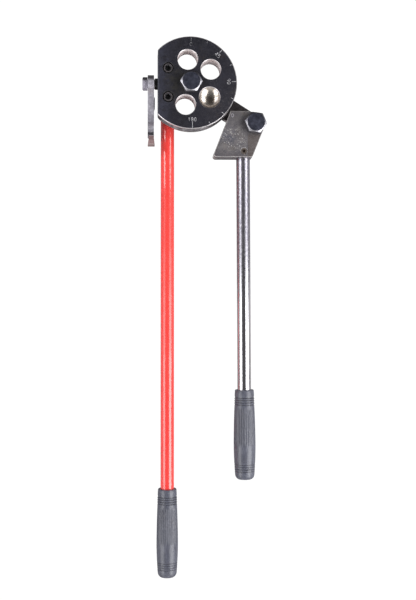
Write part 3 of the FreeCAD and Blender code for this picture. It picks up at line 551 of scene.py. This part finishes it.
def ring_offset(t):
    """Rings moulded round the grip: four near the mouth and four shallower ones near the end."""
    d = 0.0
    for g in (9.8, 12.7, 15.6, 18.5):
        d -= 0.52 * math.exp(-((t - g) / 0.55) ** 2)
    for g in (11.25, 14.15, 17.05):
        d += 0.22 * math.exp(-((t - g) / 0.95) ** 2)
    for g, a in ((93.6, 0.26), (96.3, 0.30), (99.3, 0.34), (102.2, 0.30)):
        d -= a * math.exp(-((t - g) / 0.55) ** 2)
    return d


def make_grip(name, p0, direction, body, cad):
    """Closed moulded grip: mouth at p0, running along direction."""
    ts = []
    t = 0.0
    while t < 106.0:
        ts.append(t)
        fine = 8.0 < t < 20.0 or 92.0 < t < 104.0
        t += 0.32 if fine else 1.6
    ts.append(106.0)
    seg = FLUTES * 6
    bm = bmesh.new()
    rows = []

    def row(t, r, flute=0.0):
        vs = []
        for i in range(seg):
            a = 2 * math.pi * i / seg
            # flat-topped ribs with narrow grooves between them
            g = 0.5 + 0.5 * math.cos(FLUTES * a)
            rr = r - 0.42 * flute * g ** 2.2
            vs.append(bm.verts.new((rr * math.cos(a), rr * math.sin(a), t)))
        rows.append(vs)

    # inside of the mouth, its rounded lip, the outside, and the rounded end
    row(3.0, 8.62)
    row(0.6, 8.62)
    row(0.12, 8.85)
    row(0.0, 9.3)
    row(0.0, 10.9)
    row(0.12, 11.35)
    row(0.45, 11.72)
    for t in ts:
        if t < 0.9:
            continue
        f = smooth(20.5, 26.0, t) * (1 - smooth(66.0, 72.0, t))
        row(t, body_radius(t) + ring_offset(t), f)
    for a in (18, 36, 54, 72, 84):
        ar = math.radians(a)
        row(106.0 + 6.7 * math.sin(ar), 12.35 - 4.9 * (1 - math.cos(ar)))
    row(112.85, 7.0)
    row(112.95, 4.0)
    row(113.0, 1.6)
    for a, b in zip(rows[:-1], rows[1:]):
        for i in range(seg):
            j = (i + 1) % seg
            bm.faces.new((a[i], a[j], b[j], b[i]))
    tip = bm.verts.new((0, 0, 113.0))
    for i in range(seg):
        bm.faces.new((rows[-1][i], rows[-1][(i + 1) % seg], tip))
    # the bore is closed inside, where the tube hides it
    inner = bm.verts.new((0, 0, 3.0))
    for i in range(seg):
        bm.faces.new((rows[0][(i + 1) % seg], rows[0][i], inner))
    bmesh.ops.recalc_face_normals(bm, faces=bm.faces)
    d = Vector(direction).normalized()
    rot = Vector((0, 0, 1)).rotation_difference(d).to_matrix().to_4x4()
    bm.transform(Matrix.Translation(Vector(p0) / 1000.0) @ rot @ Matrix.Scale(0.001, 4))
    me = bpy.data.meshes.new(name)
    bm.to_mesh(me)
    bm.free()
    for p in me.polygons:
        p.use_smooth = True
    o = bpy.data.objects.new(name, me)
    bpy.context.scene.collection.objects.link(o)
    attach(o, body)
    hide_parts(cad)
    return o


def grip_material(name, seed, ax, az, slope, y_top):
    """Moulded rubber on an axis through (ax, az) at the mouth, which lies at y_top and drifts by the slope."""
    m = Mat(name)
    t = m.sub(y_top, m.y)
    ang = m.math("ARCTAN2", m.sub(m.z, az), m.sub(m.sub(m.x, ax), m.mul(t, slope)))
    groove = m.math("POWER", m.add(0.5, m.mul(0.5, m.math("COSINE", m.mul(ang, float(FLUTES))))), 2.4)
    fluted = m.mul(groove, m.mul(m.step(t, 21, 26), m.step(t, 72, 66)))
    ringed = m.mul(m.noise(0.0, 0), 0.0)
    for g, wd in ((9.8, 0.75), (12.7, 0.75), (15.6, 0.75), (18.5, 0.75), (93.6, 0.6), (96.3, 0.6), (99.3, 0.65), (102.2, 0.6)):
        ringed = m.mx(ringed, m.step(m.math("ABSOLUTE", m.sub(t, g)), wd, wd * 0.3))
    big = m.noise(0.05, 5, 0.62, off=(seed, 0, 0))
    mid = m.noise(0.35, 5, 0.66, off=(0, seed, 0))
    fine = m.noise(3.5, 4, 0.7)
    streak = m.noise(1.0, 4, 0.6, m.stretch(0.8, 0.05, 0.8))
    c = m.mix(m.step(m.add(m.mul(big, 0.5), m.mul(mid, 0.5)), 0.36, 0.64), (0.055, 0.058, 0.078), (0.085, 0.089, 0.115))
    c = m.mix(m.mul(m.step(streak, 0.5, 0.72), 0.40), c, (0.125, 0.126, 0.155))
    c = m.mix(m.mul(m.step(streak, 0.48, 0.30), 0.40), c, (0.040, 0.042, 0.056))
    c = m.mix(m.mul(m.step(fine, 0.56, 0.74), 0.25), c, (0.13, 0.128, 0.145))
    c = m.mix(m.mul(m.step(m.noise(0.09, 5, 0.6, off=(seed, 5, 5)), 0.55, 0.72), 0.35), c, (0.070, 0.060, 0.066))
    # painted shade: the grooves between the flutes and the moulded rings darkened
    c = m.mix(m.mul(fluted, 0.55), c, (0.022, 0.023, 0.031))
    c = m.mix(m.mul(ringed, 0.8), c, (0.016, 0.016, 0.022))
    rough = m.lin(m.add(m.mul(mid, 0.5), m.mul(fine, 0.5)), 0.3, 0.7, 0.30, 0.44)
    return m.set(color=c, rough=rough, spec=0.5,
                 normal=m.bump(m.add(fine, m.mul(mid, 0.6)), 0.35, 0.10))


lo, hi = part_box("die_handle_grip")
gx, gz = (lo.x + hi.x) * 500.0, (lo.z + hi.z) * 500.0
g1 = make_grip("die_grip_moulded", (gx, hi.y * 1000.0, gz), (0, -1, 0), "die_assembly", "die_handle_grip")
g1.data.materials.append(grip_material("grip_rubber_a", 1.0, gx, gz, 0.0, hi.y * 1000.0))
lo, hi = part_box("shoe_handle_grip")
slope = 0.006
mid_x, mid_y = (lo.x + hi.x) * 500.0, (lo.y + hi.y) * 500.0
top_y = hi.y * 1000.0
top_x = mid_x + slope * (mid_y - (top_y - 0.08))
g2 = make_grip("shoe_grip_moulded", (top_x, top_y - 0.08, 0.0), (slope, -1, 0), "shoe", "shoe_handle_grip")
g2.data.materials.append(grip_material("grip_rubber_b", 5.0, top_x, 0.0, slope, top_y - 0.08))


# ================================================================ stage
WORLD_DARK, WORLD_SIDES, WORLD_FOOT = 0.10, 0.42, 0.9
RIGHT, LEFT, HEAD = 7.0, 4.6, 7.0


def area(name, loc, target, size_x, size_y, power, color=(1, 1, 1)):
    d = bpy.data.lights.new(name, "AREA")
    d.shape = "RECTANGLE"
    d.size, d.size_y = size_x, size_y
    d.energy = power
    d.color = color
    o = bpy.data.objects.new(name, d)
    bpy.context.scene.collection.objects.link(o)
    o.location = loc
    z = (Vector(loc) - Vector(target)).normalized()
    y = Vector((0, 1, 0))
    x = y.cross(z).normalized()
    y = z.cross(x)
    o.matrix_world = Matrix.Translation(Vector(loc)) @ Matrix((x, y, z)).transposed().to_4x4()
    return o


FLOOR_Z = CAD_BOX[0][2] - 0.0002
me = bpy.data.meshes.new("floor")
S = 14.0
me.from_pydata([(-S, -S, FLOOR_Z), (S, -S, FLOOR_Z), (S, S, FLOOR_Z), (-S, S, FLOOR_Z)], [], [(0, 1, 2, 3)])
floor = bpy.data.objects.new("floor", me)
bpy.context.scene.collection.objects.link(floor)
# pure white to the viewer, a mid grey sweep to the reflections
fm = bpy.data.materials.new("floor_white")
fm.use_nodes = True
ft = fm.node_tree
ft.nodes.clear()
fo = ft.nodes.new("ShaderNodeOutputMaterial")
fmix = ft.nodes.new("ShaderNodeMixShader")
lp = ft.nodes.new("ShaderNodeLightPath")
fd_ = ft.nodes.new("ShaderNodeBsdfDiffuse")
fd_.inputs["Color"].default_value = (0.34, 0.33, 0.335, 1)
fe = ft.nodes.new("ShaderNodeEmission")
fe.inputs["Color"].default_value = (1, 1, 1, 1)
fe.inputs["Strength"].default_value = 1.05
ft.links.new(lp.outputs["Is Camera Ray"], fmix.inputs[0])
ft.links.new(fd_.outputs[0], fmix.inputs[1])
ft.links.new(fe.outputs[0], fmix.inputs[2])
ft.links.new(fmix.outputs[0], fo.inputs[0])
me.materials.append(fm)

# world: white to the viewer; dark overhead and towards the head, paler to both sides and the foot
w = bpy.data.worlds.new("studio")
bpy.context.scene.world = w
w.use_nodes = True
nt = w.node_tree
nt.nodes.clear()


def wmath(op, a, b=None, clamp=False):
    n = nt.nodes.new("ShaderNodeMath")
    n.operation = op
    n.use_clamp = clamp
    for i, v in enumerate((a, b)):
        if isinstance(v, bpy.types.NodeSocket):
            nt.links.new(v, n.inputs[i])
        elif v is not None:
            n.inputs[i].default_value = v
    return n.outputs[0]


def wstep(v, lo, hi, a, b):
    n = nt.nodes.new("ShaderNodeMapRange")
    n.interpolation_type = "SMOOTHSTEP"
    nt.links.new(v, n.inputs["Value"])
    n.inputs["From Min"].default_value = lo
    n.inputs["From Max"].default_value = hi
    n.inputs["To Min"].default_value = a
    n.inputs["To Max"].default_value = b
    return n.outputs[0]


out = nt.nodes.new("ShaderNodeOutputWorld")
tc = nt.nodes.new("ShaderNodeTexCoord")
sep = nt.nodes.new("ShaderNodeSeparateXYZ")
nt.links.new(tc.outputs["Generated"], sep.inputs[0])
wx, wy, wz = sep.outputs
sides = wmath("MULTIPLY", wstep(wmath("ABSOLUTE", wx), 0.45, 0.80, 0.0, 1.0), wstep(wy, -0.03, 0.07, 1.0, 0.16))
foot = wmath("MULTIPLY", wstep(wy, -0.85, -0.30, 1.0, 0.0), wstep(wz, 0.25, 0.75, 1.0, 0.0))
level = wmath("ADD", WORLD_DARK, wmath("ADD", wmath("MULTIPLY", sides, WORLD_SIDES), wmath("MULTIPLY", foot, WORLD_FOOT)))
bg_room = nt.nodes.new("ShaderNodeBackground")
bg_room.inputs[0].default_value = (1.0, 0.985, 1.0, 1)
nt.links.new(level, bg_room.inputs[1])
bg_view = nt.nodes.new("ShaderNodeBackground")
bg_view.inputs[0].default_value = (1, 1, 1, 1)
bg_view.inputs[1].default_value = 1.05
lpw = nt.nodes.new("ShaderNodeLightPath")
wmix = nt.nodes.new("ShaderNodeMixShader")
nt.links.new(lpw.outputs["Is Camera Ray"], wmix.inputs[0])
nt.links.new(bg_room.outputs[0], wmix.inputs[1])
nt.links.new(bg_view.outputs[0], wmix.inputs[2])
nt.links.new(wmix.outputs[0], out.inputs[0])


def softbox(name, angle, y0, y1, width, radiance, dist=1.0):
    """Long box along Y, seen from the tool at the given angle from overhead, positive towards +X."""
    a = math.radians(angle)
    loc = (dist * math.sin(a), (y0 + y1) / 2, dist * math.cos(a))
    return area(name, loc, (0.0, (y0 + y1) / 2, 0.0), width, y1 - y0, math.pi * width * (y1 - y0) * radiance)


for i, (y0, y1, level) in enumerate(((-1.30, -0.40, 1.0), (-0.40, -0.25, 0.62), (-0.25, -0.15, 0.38), (-0.15, -0.06, 0.12))):
    softbox("right_foot_%d" % i, 51, y0, y1, 0.76, RIGHT * level)
    softbox("left_foot_%d" % i, -58, y0, y1, 0.58, LEFT * level)
softbox("right_head", 53, 0.00, 0.70, 0.44, HEAD)
softbox("left_head", -54, 0.00, 0.70, 0.44, HEAD)

# ================================================================ camera
cam_d = bpy.data.cameras.new("camera")
cam = bpy.data.objects.new("camera", cam_d)
bpy.context.scene.collection.objects.link(cam)
cam_d.sensor_width = 36.0
cam_d.lens = 883.6 * 36.0 / 600.0
cam_d.clip_start = 0.01
cam_d.clip_end = 100.0
cam.location = (-0.0574, -0.2706, 1.1088)
cam.rotation_euler = (math.radians(0.01), math.radians(-4.1), math.radians(0.03))
bpy.context.scene.camera = cam
bpy.context.scene.view_settings.view_transform = "Standard"

bpy.context.view_layer.update()
